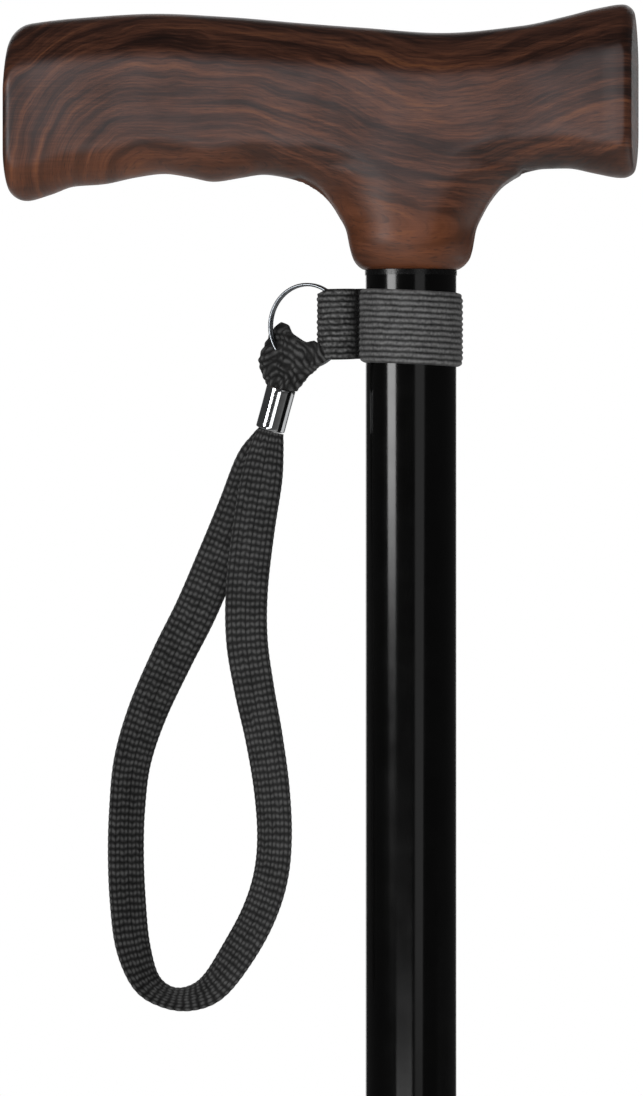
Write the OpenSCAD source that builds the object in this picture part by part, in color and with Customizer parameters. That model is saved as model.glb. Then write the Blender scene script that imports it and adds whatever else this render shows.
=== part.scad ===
// Single point cane: a wood T handle on a two-piece height-adjustable tube,
// with a rubber tip and a wrist strap that hangs from a webbing band.
// +Z is up the shaft, -X is the long side of the handle, and the origin is
// the middle of the rubber tip's foot. Millimetres.

/* [Height] */
// Floor to the highest point of the handle, at the height it is set to
cane_h = 890; // [820:5:1080]
// Floor to the lower end of the upper tube
joint_z = 260; // [210:5:330]
// Distance between two height holes
hole_pitch = 25.4; // [20:0.2:32]
// Number of height holes
hole_count = 7; // [3:1:10]
// Height holes that are left below the one in use
holes_below = 2; // [0:1:2]
// Lower end of the upper tube to its lowest hole
first_hole = 60; // [45:1:80]
// Snap button to the top end of the lower tube
button_below_top = 40; // [30:1:60]

/* [Tubes] */
// Outside diameter of the upper tube
upper_d = 22.2; // [20:0.1:27]
// Wall of the upper tube
upper_wall = 1.5; // [1.2:0.1:1.9]
// Wall of the lower tube
lower_wall = 1.5; // [1.2:0.1:1.9]
// Gap all round between the sliding tubes
slide_gap = 0.07; // [0.03:0.01:0.1]

/* [Snap button] */
// Diameter of the button
button_d = 6.4; // [5:0.1:7.5]
// How far the button stands out of the upper tube
button_out = 2.4; // [1.5:0.1:3.2]
// Gap all round the button in the upper tube's holes
button_gap = 0.3; // [0.15:0.05:0.5]
// Thickness of the leaf spring
leaf_t = 0.7; // [0.5:0.05:0.9]
// Width of the leaf spring
leaf_w = 7; // [5:0.5:8.5]

/* [Handle] */
// Shaft axis to the back end of the handle
grip_back = 98.8; // [80:0.5:120]
// Shaft axis to the front end of the handle
grip_front = 54.8; // [45:0.5:70]
// Width of the handle across the palm
grip_w = 30; // [26:0.5:36]
// Diameter of the stud that holds the handle
stud_d = 8; // [6:0.5:10]
// How deep the stud goes into the wood
stud_in_wood = 38; // [25:1:45]
// How deep the plug goes into the tube
plug_depth = 32; // [20:1:45]
// Thickness of the plug's flange under the wood
flange_t = 1.3; // [0.8:0.1:3]

/* [Locking collar] */
// Wall of the locking collar outside its thread
collar_wall = 2.6; // [2:0.1:6]
// Height of the locking collar
collar_h = 28; // [24:1:40]
// Number of grip ribs round the collar
rib_count = 20; // [12:1:28]

/* [Tip] */
// Diameter of the rubber tip's foot
foot_d = 38; // [34:1:50]
// Height of the rubber tip
tip_h = 45; // [38:1:60]
// Thickness of rubber under the washer
sole_t = 7.4; // [6:0.2:12]
// Thickness of the steel washer in the tip
tip_washer_t = 1.6; // [1:0.1:2.5]

/* [Wrist strap] */
// Handle's lower edge down to the middle of the split ring
ring_below_neck = 13.5; // [12:0.5:60]
// Radius of the split ring, to the middle of its wire
ring_r = 10.1; // [9.8:0.1:10.4]
// Wire diameter of the split ring
wire_d = 0.85; // [0.7:0.05:1.1]
// Height of the webbing band
band_h = 18; // [14:0.5:20]
// Thickness of the webbing round the tube
band_t = 1.5; // [1:0.1:2]
// Outside diameter of the crimped ferrule
ferrule_d = 7.3; // [7:0.1:8]
// Length of the ferrule
ferrule_l = 10.7; // [8:0.1:12]
// Width of the wrist strap
strap_w = 10.5; // [8:0.5:12]
// Thickness of the wrist strap
strap_t = 2; // [1.4:0.1:2.4]

/* [Hidden] */
$fn = 64;
e = 0.01;

// Tubes
upper_r = upper_d / 2;
upper_in_r = upper_r - upper_wall;
lower_r = upper_in_r - slide_gap;
lower_in_r = lower_r - lower_wall;

// Heights along the shaft
grip_h = 64.5;
neck_z = cane_h - grip_h;
tube_top_z = neck_z - flange_t;
button_z = joint_z + first_hole + holes_below * hole_pitch;
lower_top_z = button_z + button_below_top;
washer_z = sole_t;
lower_z = washer_z + tip_washer_t;
ring_z = neck_z - ring_below_neck;

// ---------------------------------------------------------------- handle
// Half width of the neck's zone; beyond it the bar runs out to each end
neck_reach = upper_r + 15.9;
neck_foot = upper_r + 0.3;      // radius of the neck's lower edge
function neck_x(out) = neck_foot + out;
function back(s) = -neck_reach - s * (grip_back - neck_reach);
function front(s) = neck_reach + s * (grip_front - neck_reach);

// Height of the handle's top above the neck's lower edge
top_line = [
    [back(1), 59], [back(0.93), 60.6], [back(0.75), 62], [back(0.5), 62.9],
    [back(0.25), 62], [back(0), 60.4], [-12, 59.2], [8, 57.8], [front(0), 59.4],
    [front(0.4), 61.7], [front(0.68), 63.6], [front(0.9), 64.5], [front(1), 64.2]
];
// Height of its underside: finger grooves at the back, the neck between
under_line = [
    [back(1), 17.6], [back(0.95), 17.1], [back(0.86), 18.7], [back(0.78), 20.7],
    [back(0.68), 21.2], [back(0.57), 22.8], [back(0.47), 23.7], [back(0.38), 22.8],
    [back(0.3), 21.7], [back(0.21), 22.6], [back(0.13), 23.4], [back(0.05), 22.6],
    [back(0), 21.4], [-neck_x(11), 18.8], [-neck_x(8.4), 16.3], [-neck_x(6.4), 13.2],
    [-neck_x(4.4), 9.5], [-neck_x(3.5), 5.6], [-neck_x(2.7), 2.8], [-neck_x(1.6), 1],
    [-neck_x(0), 0], [neck_x(0), 0], [neck_x(1.6), 1], [neck_x(3), 2.6], [neck_x(3.8), 5.2],
    [neck_x(4.5), 9.5], [neck_x(6.2), 13.7], [neck_x(8.2), 17.1], [neck_x(11.4), 20.7],
    [front(0), 23.2], [front(0.2), 24.5], [front(0.4), 24.6], [front(0.65), 23.3],
    [front(0.88), 22.2], [front(1), 22.6]
];
// Underside of the bar alone, as if it ran straight over the neck
bar_line = [[back(1), 16], [back(0), 22.5], [0, 24], [front(0), 24], [front(1), 22]];
// Share of the full width along the bar
width_line = [
    [back(1), 1], [back(0.9), 0.96], [back(0.6), 0.97], [back(0), 0.96], [0, 0.95],
    [front(0), 0.95], [front(0.7), 0.955], [front(1), 1]
];
// Radius of the neck at a height above its lower edge
neck_line = [
    [0, neck_x(0)], [1, neck_x(1.6)], [2.7, neck_x(2.8)], [5.4, neck_x(3.6)], [9.5, neck_x(4.4)],
    [13.5, neck_x(6.3)], [16.7, neck_x(8.3)], [20, neck_x(11.2)], [24, neck_x(18.6)]
];

// Index of the span of a table that holds x
function span_of(x, t, i = 0) = (i >= len(t) - 2 || x < t[i + 1][0]) ? i : span_of(x, t, i + 1);
function rise(t, i) = (t[i + 1][1] - t[i][1]) / (t[i + 1][0] - t[i][0]);
// Slope at a point of a table: level where the table turns
function slope(t, i) =
    i == 0 ? rise(t, 0) :
    i == len(t) - 1 ? rise(t, i - 1) :
    let (a = rise(t, i - 1), b = rise(t, i)) (a * b <= 0 ? 0 : 2 * a * b / (a + b));
// Smooth curve through a table's points, without overshoot
function curve(x, t) =
    let (i = span_of(x, t), h = t[i + 1][0] - t[i][0], u = max(0, min(1, (x - t[i][0]) / h)))
        (1 + 2 * u) * (1 - u) * (1 - u) * t[i][1] + u * (1 - u) * (1 - u) * h * slope(t, i)
        + u * u * (3 - 2 * u) * t[i + 1][1] - u * u * (1 - u) * h * slope(t, i + 1);

// Share of a full width left at a distance in from a rounded edge
function edge(d, r) = let (u = max(0, min(1, d / r))) sqrt(1 - (1 - u) * (1 - u));

crown_r = 13;         // depth over which the top rounds into the sides
belly_r = 10;         // depth over which the underside rounds into the sides
back_round = 3;       // rounding of the back end
front_round = 3;      // rounding of the front end
least_half = 0.5;     // half width of the narrow land along each ridge
neck_proud = 0.3;     // how far the neck's waist stands past the bar's sides

// How much the ends are drawn in at x, 0 away from them
function drawn_in(x) =
    x < 0 ? back_round * (1 - edge(x + grip_back, back_round))
          : front_round * (1 - edge(grip_front - x, front_round));
function top_at(x) = curve(x, top_line) - 0.8 * drawn_in(x);
function under_at(x) = curve(x, under_line) + (abs(x) < neck_reach ? 0 : 0.5 * drawn_in(x));
function bar_half(x, h) = grip_w / 2 * curve(x, width_line)
    * edge(h - max(curve(x, bar_line), under_at(x)), belly_r);
function neck_half(x, h) =
    let (r = curve(h, neck_line)) min(r, grip_w / 2 + neck_proud) * sqrt(max(0, 1 - x * x / (r * r)));
// Most half width: the bar's own up high, and the neck's fuller waist below it
function most_half(x, h) =
    let (high = max(0, min(1, (h - 16) / 20)))
        grip_w / 2 * (high * curve(x, width_line) + 1 - high) + (1 - high) * neck_proud;
// Half width of the handle at x and a height
function half_at(x, h) =
    let (b = bar_half(x, h), n = abs(x) < neck_reach ? neck_half(x, h) : 0,
         both = pow(pow(b, 6) + pow(n, 6), 1 / 6))
        max(least_half, min(both, most_half(x, h)) * pow(edge(top_at(x) - h, crown_r), 0.9) - drawn_in(x));

grip_rows = 15;       // points up each side of a section
// Sections close together where the neck's wall is steep
neck_outs = [13.1, 11, 9.4, 8, 6.6, 5.4, 4.5, 4, 3.6, 3.1, 2.6, 2, 1.2, 0.4, -0.4, -2.4, -5.4, -8.4];
neck_steps = [for (out = neck_outs) neck_x(out)];
grip_stations = concat(
    [for (s = [0, 0.0015, 0.006, 0.014, 0.028, 0.05]) back(1 - s)],
    [for (i = [1:22]) back(0.95 - 0.95 * i / 22)],
    [for (x = neck_steps) -x], [0], [for (i = [len(neck_steps) - 1:-1:0]) neck_steps[i]],
    [for (i = [0:10]) front(0.87 * i / 10)],
    [for (s = [0.1, 0.065, 0.035, 0.014, 0.004, 0]) front(1 - s)]
);
function row_at(x, j) =
    let (u = (1 - cos(180 * j / (grip_rows - 1))) / 2) under_at(x) + u * (top_at(x) - under_at(x));
grip_points = [
    for (x = grip_stations)
        for (k = [0:2 * grip_rows - 1])
            let (near = k < grip_rows, j = near ? k : 2 * grip_rows - 1 - k, h = row_at(x, j))
                [x, (near ? 1 : -1) * half_at(x, h), h]
];

// Faces of a tube of rings of n points, closed at both ends by strips across
function across(first, n, way) = [
    for (k = [0:n / 2 - 2])
        for (half = [0, 1])
            let (a = first + k, b = first + n - 1 - k,
                 near = half == 0 ? a + 1 : b - 1, far = half == 0 ? b - 1 : b)
                way > 0 ? [a, near, far] : [a, far, near]
];
function tube_faces(rings, n) = concat(
    across(0, n, 1),
    [for (i = [0:rings - 2]) for (j = [0:n - 1]) for (half = [0, 1])
        let (a = i * n + j, b = i * n + (j + 1) % n)
            half == 0 ? [a, a + n, b + n] : [a, b + n, b]],
    across((rings - 1) * n, n, -1)
);

module handle_grip() {
    color("saddlebrown")
        translate([0, 0, neck_z])
            difference() {
                polyhedron(grip_points, tube_faces(len(grip_stations), 2 * grip_rows), convexity = 6);
                translate([0, 0, -1])
                    cylinder(d = stud_d + 2 * stud_gap, h = stud_in_wood + 2);
            }
}

// ------------------------------------------------- handle's fixing in the tube
flange_over = 0.15;   // how far the plug's flange stands past the tube
stud_gap = 0.05;      // gap all round the stud in the wood and the plug
module neck_plug() {
    color("black")
        difference() {
            union() {
                translate([0, 0, tube_top_z])
                    cylinder(r = upper_r + flange_over, h = flange_t);
                translate([0, 0, tube_top_z - plug_depth])
                    cylinder(r = upper_in_r, h = plug_depth + e);
            }
            translate([0, 0, tube_top_z - plug_depth - 1])
                cylinder(d = stud_d + 2 * stud_gap, h = plug_depth + flange_t + 2);
        }
}

washer_t = 1.6;
nut_h = 0.8 * stud_d;
nut_flats = 1.625 * stud_d;
washer_d = 2 * stud_d;
washer_gap = 0.2;
plug_z = tube_top_z - plug_depth;
nut_z = plug_z - washer_t - nut_h;
stud_below_nut = 3;
stud_taper = 4;
module handle_stud() {
    color("silver") {
        stud_z = nut_z - stud_below_nut;
        translate([0, 0, stud_z])
            cylinder(d = stud_d, h = neck_z + stud_in_wood - stud_taper - stud_z);
        translate([0, 0, neck_z + stud_in_wood - stud_taper])
            cylinder(d1 = stud_d, d2 = stud_d / 2, h = stud_taper);
    }
}

module stud_washer() {
    color("lightgray")
        translate([0, 0, plug_z - washer_t])
            difference() {
                cylinder(d = washer_d, h = washer_t);
                translate([0, 0, -1])
                    cylinder(d = stud_d + 2 * washer_gap, h = washer_t + 2);
            }
}

module stud_nut() {
    color("gray")
        translate([0, 0, nut_z])
            difference() {
                cylinder(d = nut_flats / cos(30), h = nut_h, $fn = 6);
                translate([0, 0, -1])
                    cylinder(d = stud_d, h = nut_h + 2);
            }
}

// ------------------------------------------------------------- tubes
module tube(r, wall, z, h) {
    translate([0, 0, z])
        difference() {
            cylinder(r = r, h = h);
            translate([0, 0, -1])
                cylinder(r = r - wall, h = h + 2);
        }
}

// A hole through the front wall, facing -Y
module front_hole(d, z) {
    translate([0, 0, z])
        rotate([90, 0, 0])
            cylinder(d = d, h = upper_d);
}

module upper_tube() {
    color("#151515")
        difference() {
            tube(upper_r, upper_wall, joint_z, tube_top_z - joint_z);
            for (i = [0:hole_count - 1])
                front_hole(button_d + 2 * button_gap, joint_z + first_hole + i * hole_pitch);
        }
}

button_side_gap = 0.12;   // gap round the button in the lower tube
module lower_tube() {
    color("#1c1c1c")
        difference() {
            tube(lower_r, lower_wall, lower_z, lower_top_z - lower_z);
            front_hole(button_d + 2 * button_side_gap, button_z);
        }
}

cap_flange_t = 2;
cap_depth = 10;
cap_wall = 2;
cap_inset = 0.1;      // how far the cap's flange stays inside the lower tube's surface
module tube_cap() {
    color("dimgray")
        difference() {
            union() {
                translate([0, 0, lower_top_z])
                    cylinder(r = lower_r - cap_inset, h = cap_flange_t);
                translate([0, 0, lower_top_z - cap_depth])
                    cylinder(r = lower_in_r, h = cap_depth + e);
            }
            translate([0, 0, lower_top_z - cap_depth - 1])
                cylinder(r = lower_in_r - cap_wall, h = cap_depth + cap_flange_t + 2);
        }
}

// -------------------------------------------------------- snap button
button_base_t = 0.8;
button_base_d = button_d + 2;
wall_clear = 0.15;
// The base is flat, so it sits where the round wall leaves room for it
button_base_y = sqrt(lower_in_r * lower_in_r - button_base_d * button_base_d / 4) - wall_clear;
button_tip_y = upper_r + button_out;
button_round = 2;
module snap_button() {
    color("silver")
        translate([0, 0, button_z])
            rotate([90, 0, 0])
                rotate_extrude()
                    union() {
                        translate([0, button_base_y - button_base_t])
                            square([button_base_d / 2, button_base_t]);
                        translate([0, button_base_y - e])
                            square([button_d / 2, button_tip_y - button_round - button_base_y + e]);
                        translate([0, button_tip_y - button_round - e])
                            square([button_d / 2 - button_round, button_round + e]);
                        translate([button_d / 2 - button_round, button_tip_y - button_round])
                            intersection() {
                                circle(r = button_round);
                                square(button_round);
                            }
                    }
}

// Leaf spring: a front leg behind the button, a round bend, and a back leg
front_y = button_base_y - button_base_t;
back_y = sqrt(lower_in_r * lower_in_r - leaf_w * leaf_w / 4) - wall_clear;
leaf_drop = 26;
leaf_up = 7;
bend_r = 0.38 * lower_in_r;
module snap_spring() {
    pad_z = -button_base_d / 2;
    color("lightsteelblue")
        translate([-leaf_w / 2, 0, button_z])
            rotate([90, 0, 90])
                linear_extrude(leaf_w)
                    union() {
                        polygon([
                            [-bend_r, -leaf_drop], [-bend_r + leaf_t, -leaf_drop], [-front_y + leaf_t, pad_z],
                            [-front_y + leaf_t, leaf_up], [-front_y, leaf_up], [-front_y, pad_z]
                        ]);
                        polygon([
                            [bend_r - leaf_t, -leaf_drop], [bend_r, -leaf_drop],
                            [back_y, leaf_up], [back_y - leaf_t, leaf_up]
                        ]);
                        translate([0, -leaf_drop])
                            intersection() {
                                difference() {
                                    circle(r = bend_r);
                                    circle(r = bend_r - leaf_t);
                                }
                                translate([-bend_r, -bend_r])
                                    square([2 * bend_r, bend_r + e]);
                            }
                    }
}

// ------------------------------------------------------ locking collar
turn_gap = 0.06;          // running gap all round the bush
bush_wall = 1.8;
bush_r = upper_r + bush_wall;
bush_up = 20;             // how far the bush reaches up the upper tube
bush_flange_t = 3;
bush_lip = 2;             // lip that the upper tube stands on
clamp_h = 6;
clamp_gap = 0.08;         // gap all round the lower tube, with the collar loose
clamp_slit = 1.6;
collar_lip = 2.5;
collar_r = bush_r + collar_wall;
collar_skin_r = collar_r - 0.8;   // radius between the grip ribs
collar_z = joint_z - bush_lip - clamp_h - collar_lip;
lower_gap = 0.25;         // gap all round the lower tube in the bush and the collar
cone_foot_r = bush_r - 1.6;
cone_top_r = bush_r - 0.2;
cone_gap = 0.12;

// Turned bush on the end of the upper tube, threaded outside
module collar_bush() {
    color("#303030")
        difference() {
            union() {
                translate([0, 0, joint_z - bush_lip])
                    cylinder(r = bush_r, h = bush_lip + bush_up);
                translate([0, 0, joint_z + bush_up])
                    cylinder(r = collar_skin_r, h = bush_flange_t);
            }
            translate([0, 0, joint_z])
                cylinder(r = upper_r, h = bush_up + bush_flange_t + 1);
            translate([0, 0, joint_z - bush_lip - 1])
                cylinder(r = lower_r + lower_gap, h = bush_lip + 2);
        }
}

// Split ring that the collar's cone squeezes onto the lower tube
module clamp_ring() {
    color("white")
        translate([0, 0, joint_z - bush_lip - clamp_h])
            difference() {
                cylinder(r1 = cone_foot_r, r2 = cone_top_r, h = clamp_h);
                translate([0, 0, -1])
                    cylinder(r = lower_r + clamp_gap, h = clamp_h + 2);
                translate([0, -clamp_slit / 2, -1])
                    cube([bush_r + 1, clamp_slit, clamp_h + 2]);
            }
}

collar_top_gap = 0.2;     // gap under the bush's flange
collar_top_z = min(collar_z + collar_h, joint_z + bush_up - collar_top_gap);
collar_bevel = 3;
rib_d = 2.2;
rib_z = collar_z + 5;
rib_h = collar_top_z - 3 - rib_z;
module lock_collar() {
    color("#101010")
        difference() {
            union() {
                translate([0, 0, collar_z])
                    rotate_extrude()
                        polygon([
                            [0, 0], [collar_r - collar_bevel, 0], [collar_skin_r, collar_bevel],
                            [collar_skin_r, collar_top_z - collar_z], [0, collar_top_z - collar_z]
                        ]);
                for (i = [0:rib_count - 1])
                    rotate(360 * i / rib_count)
                        translate([collar_r - rib_d / 2, 0, rib_z])
                            cylinder(d = rib_d, h = rib_h, $fn = 24);
            }
            translate([0, 0, joint_z - bush_lip])
                cylinder(r = bush_r + turn_gap, h = collar_h + bush_lip);
            translate([0, 0, joint_z - bush_lip - clamp_h - e])
                cylinder(r1 = cone_foot_r + cone_gap, r2 = cone_top_r + cone_gap, h = clamp_h + 2 * e);
            translate([0, 0, collar_z - 1])
                cylinder(r = lower_r + lower_gap, h = collar_lip + 2);
        }
}

// --------------------------------------------------------------- tip
groove_w = 1.6;
groove_deep = 1.8;
groove_rs = [0.34, 0.55, 0.76];   // shares of the foot's radius
sleeve_wall = 3.2;
bead = 0.9;               // how far the bead at the sleeve's mouth stands out
module rubber_tip() {
    foot_r = foot_d / 2;
    sleeve_r = lower_r + sleeve_wall;
    color("#222222")
        difference() {
            rotate_extrude()
                polygon([
                    [0, 0], [foot_r - 1, 0], [foot_r, 1.5], [foot_r, 4], [foot_r - 1.4, 7],
                    [sleeve_r + 1.2, sole_t + 9], [sleeve_r, sole_t + 13], [sleeve_r, tip_h - 6],
                    [sleeve_r + bead, tip_h - 5], [sleeve_r + bead, tip_h - 1], [sleeve_r, tip_h], [0, tip_h]
                ]);
            translate([0, 0, washer_z])
                cylinder(r = lower_r, h = tip_h);
            for (s = groove_rs)
                translate([0, 0, -1])
                    difference() {
                        cylinder(r = s * foot_r + groove_w / 2, h = groove_deep + 1);
                        translate([0, 0, -1])
                            cylinder(r = s * foot_r - groove_w / 2, h = groove_deep + 4);
                    }
        }
}

tip_washer_gap = 0.1;
module tip_washer() {
    color("silver")
        translate([0, 0, washer_z])
            cylinder(r = lower_r - tip_washer_gap, h = tip_washer_t);
}

// ---------------------------------------------------- band round the tube
band_gap = 0.1;
pocket_r = 3.9;           // inside of the fold that holds the ring
pocket_wall = 1;
pocket_out = 5.35;        // the pocket's middle from the band
pocket_x = -upper_r - band_t - pocket_out;
pinch_half = 1.4;         // half thickness where the layers are sewn together
tail_up = 0.832 * ring_r;       // the tail's top edge over the ring's middle
tail_down = 0.792 * ring_r;
band_below_ring = 0.6;    // the band's middle under the ring's
band_z = ring_z - band_below_ring - band_h / 2;
module webbing_band() {
    color("#3a3a3a")
        difference() {
            union() {
                translate([0, 0, band_z])
                    cylinder(r = upper_r + band_gap + band_t, h = band_h);
                translate([0, 0, ring_z - tail_down])
                    linear_extrude(tail_up + tail_down)
                        union() {
                            translate([pocket_x, 0])
                                circle(r = pocket_r + pocket_wall);
                            translate([pocket_x + pocket_r, -pinch_half])
                                square([upper_r / 2, 2 * pinch_half]);
                        }
            }
            translate([0, 0, band_z - 1])
                cylinder(r = upper_r + band_gap, h = band_h + 2);
            translate([pocket_x, 0, ring_z - tail_down - 1])
                cylinder(r = pocket_r, h = tail_up + tail_down + 2);
        }
}

stitch_l = 2;
stitch_pitch = 2.9;
stitch_d = 0.5;
// The stitches stand halfway between the band's outside and the pocket's
band_outside = upper_r + band_gap + band_t;
pocket_side = -pocket_x - sqrt(pow(pocket_r + pocket_wall, 2) - pow(pinch_half + stitch_d / 2, 2));
band_side = sqrt(pow(band_outside, 2) - pow(pinch_half + stitch_d / 2, 2));
stitch_x = -(pocket_side + band_side) / 2;
module band_stitching() {
    rows = floor((tail_up + tail_down - 1) / stitch_pitch);
    color("black")
        for (side = [-1, 1])
            for (i = [0:rows - 1])
                translate([stitch_x, side * (pinch_half + stitch_d / 2),
                           ring_z - tail_down + 1 + i * stitch_pitch])
                    cylinder(d = stitch_d, h = stitch_l, $fn = 16);
}

// ------------------------------------------------------------ split ring
// The ring and what hangs from it are turned about the fold's upright line
ring_yaw = 22;
fold_x = pocket_x - 2.6;
fold_to_ring = 5.6;
ring_middle = [fold_x - fold_to_ring * cos(ring_yaw), fold_to_ring * sin(ring_yaw), ring_z];
module at_ring() {
    translate(ring_middle)
        rotate(-ring_yaw)
            children();
}

module split_ring() {
    color("silver")
        at_ring()
            rotate([90, 0, 0])
                rotate_extrude()
                    translate([ring_r, 0])
                        union() {
                            square(wire_d, center = true);
                            for (side = [-1, 1])
                                translate([0, side * wire_d / 2])
                                    circle(d = wire_d, $fn = 24);
                        }
}

// ------------------------------------------------------------ wrist strap
ferrule_top = [-6.6, -15];
ferrule_tilt = 17;
ferrule_wall = 0.6;
core_r = ferrule_d / 2 - ferrule_wall;
module at_ferrule() {
    at_ring()
        translate([ferrule_top[0], 0, ferrule_top[1]])
            rotate([0, ferrule_tilt, 0])
                children();
}

throat_t = 5.4;
ring_room = 0.3;          // room round the ring's wire in the gathered strap
// Gathered end of the strap where it goes over the ring, seen from the front
throat_outline = [
    [-8.2, 0.8], [-6.2, -1.2], [-2.6, -3.2], [1, -3.9], [2.2, -4.6], [2.3, -7.2],
    [1.2, -9.2], [-0.4, -11.4], [-3.3, -15.8], [-10.3, -13.7], [-11.5, -8.4],
    [-11.9, -5.6], [-11.6, -2.6], [-10.9, -0.6], [-9.6, 0.8]
];
module strap_throat() {
    color("#2b2b2b")
        union() {
            at_ring()
                difference() {
                    translate([0, throat_t / 2, 0])
                        rotate([90, 0, 0])
                            linear_extrude(throat_t)
                                polygon(throat_outline);
                    rotate([90, 0, 0])
                        rotate_extrude()
                            translate([ring_r - wire_d / 2 - ring_room, -wire_d - ring_room])
                                square([wire_d + 2 * ring_room, 2 * wire_d + 2 * ring_room]);
                }
            at_ferrule()
                translate([0, 0, -ferrule_l])
                    cylinder(r = core_r, h = ferrule_l + 2);
        }
}

module strap_ferrule() {
    color("silver")
        at_ferrule()
            translate([0, 0, -ferrule_l])
                difference() {
                    cylinder(d = ferrule_d, h = ferrule_l);
                    translate([0, 0, -1])
                        cylinder(r = core_r, h = ferrule_l + 2);
                }
}

// Middle line of the strap from the ring's middle: down the back strand, round, and up
// the front one. Each row is x, y, z, the share of the full width, and the twist in degrees.
strap_route = [
    [-9.2, 5, -25.8, 0.62, 0], [-10.9, 5.2, -29, 0.8, 0], [-13.5, 5.4, -34, 0.96, 0],
    [-17.6, 5.7, -45, 1, 0], [-22.7, 5.9, -57.2, 1, 0], [-28.1, 5.9, -69.7, 1, 6],
    [-33.9, 5.7, -81.2, 1, 16], [-39.9, 5.3, -94.5, 1, 28], [-43.4, 4.9, -106.5, 1, 36],
    [-44.7, 4.7, -118.2, 1, 40], [-44.9, 4.5, -129.5, 1, 40], [-44.2, 4.3, -141, 1, 40],
    [-42.7, 4.1, -151.5, 1, 44], [-39.5, 3.9, -159.7, 1, 56], [-34.8, 3.7, -164, 1, 64],
    [-28.9, 3.5, -164.6, 1, 56], [-23.1, 3.4, -161.4, 1, 42], [-17.2, 3.2, -153.2, 1, 32],
    [-12.3, 3.1, -144.2, 1, 30], [-9.3, 2.9, -135, 1, 30], [-8.3, 2.7, -125, 1, 30],
    [-9, 2.5, -113, 1, 27], [-10.9, 2.3, -100.5, 1, 22], [-13.2, 2.1, -89, 1, 14],
    [-15, 1.9, -77, 1, 6], [-15, 1.8, -64.5, 1, 2], [-13.4, 1.9, -50, 1, 0],
    [-11.4, 2.1, -37.5, 0.98, 0], [-10.1, 2.2, -30, 0.8, 0], [-9.2, 2.3, -25.8, 0.62, 0]
];
function place(i) = [strap_route[i][0], strap_route[i][1], strap_route[i][2]];
function unit(v) = v / norm(v);
strap_last = len(strap_route) - 1;
function along(i) = unit(place(min(i + 1, strap_last)) - place(max(i - 1, 0)));
// Corners of the flat section, as shares of its half width and half thickness
strap_section = [
    [1, 0.45], [0.86, 1], [-0.86, 1], [-1, 0.45], [-1, -0.45], [-0.86, -1], [0.86, -1], [1, -0.45]
];
strap_points = [
    for (i = [0:strap_last])
        let (t = along(i), flat = unit(cross(t, [0, 1, 0])), deep = cross(flat, t), a = strap_route[i][4],
             w = flat * cos(a) + deep * sin(a), n = deep * cos(a) - flat * sin(a))
            for (s = strap_section)
                place(i) + w * s[0] * strap_w / 2 * strap_route[i][3] + n * s[1] * strap_t / 2
];
module wrist_strap() {
    color("#333333")
        translate(ring_middle)
            polyhedron(strap_points, tube_faces(len(strap_route), len(strap_section)), convexity = 6);
}

handle_grip();
neck_plug();
handle_stud();
stud_washer();
stud_nut();
upper_tube();
collar_bush();
clamp_ring();
lock_collar();
lower_tube();
tube_cap();
snap_button();
snap_spring();
rubber_tip();
tip_washer();
webbing_band();
band_stitching();
split_ring();
strap_throat();
strap_ferrule();
wrist_strap();
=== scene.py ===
"""Looks of a single point cane: rosewood handle, gloss black tube, ribbed webbing band, split ring and wrist
strap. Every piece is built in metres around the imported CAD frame, +Z up the shaft and -X along the handle's
long side."""
import math

import bmesh
import bpy
from mathutils import Matrix, Vector, noise


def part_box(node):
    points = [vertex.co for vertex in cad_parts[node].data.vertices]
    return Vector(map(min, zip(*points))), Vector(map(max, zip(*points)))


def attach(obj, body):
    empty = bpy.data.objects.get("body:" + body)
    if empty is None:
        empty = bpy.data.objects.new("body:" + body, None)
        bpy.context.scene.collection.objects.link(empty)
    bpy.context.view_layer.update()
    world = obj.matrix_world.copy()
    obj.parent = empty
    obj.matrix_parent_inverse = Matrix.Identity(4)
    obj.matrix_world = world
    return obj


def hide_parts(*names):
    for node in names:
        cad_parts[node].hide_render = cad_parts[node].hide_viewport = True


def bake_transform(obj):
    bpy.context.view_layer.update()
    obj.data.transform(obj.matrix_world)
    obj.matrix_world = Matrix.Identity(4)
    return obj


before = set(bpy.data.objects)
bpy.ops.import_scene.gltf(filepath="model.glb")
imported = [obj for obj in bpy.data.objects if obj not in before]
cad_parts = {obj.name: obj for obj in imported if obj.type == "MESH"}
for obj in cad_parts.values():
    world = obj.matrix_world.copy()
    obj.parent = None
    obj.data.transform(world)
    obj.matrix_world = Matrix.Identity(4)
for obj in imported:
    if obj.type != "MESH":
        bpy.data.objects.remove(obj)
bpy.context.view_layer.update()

MM = 0.001
TURN = 2 * math.pi
bpy.context.scene.view_settings.view_transform = "Standard"


# ------------------------------------------------------------------ camera
VIEW_H = 267.4 * MM          # height of what the camera takes in, at the shaft
VIEW_ABOVE = 1.4 * MM        # room over the handle
VIEW_TO_BACK = 21.84 * MM    # middle of the view, from the shaft to the handle's back
VIEW_TURN = math.radians(6)  # the camera stands a little to the handle's front
LENS = 300
SENSOR = 36


def camera():
    """A long lens level with the handle, so that upright edges stay upright."""
    data = bpy.data.cameras.new("camera")
    data.lens = LENS
    data.sensor_width = SENSOR
    away = VIEW_H / 2 / (SENSOR / 2 / LENS)
    across = Vector((math.cos(VIEW_TURN), math.sin(VIEW_TURN), 0))
    ahead = Vector((-math.sin(VIEW_TURN), math.cos(VIEW_TURN), 0))
    middle_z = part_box("handle_grip")[1].z + VIEW_ABOVE - VIEW_H / 2
    made = bpy.data.objects.new("camera", data)
    made.location = across * -VIEW_TO_BACK - ahead * away + Vector((0, 0, middle_z))
    made.rotation_mode = "QUATERNION"
    made.rotation_quaternion = ahead.to_track_quat("-Z", "Y")
    data.clip_end = 100
    bpy.context.scene.collection.objects.link(made)
    bpy.context.scene.camera = made


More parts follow.
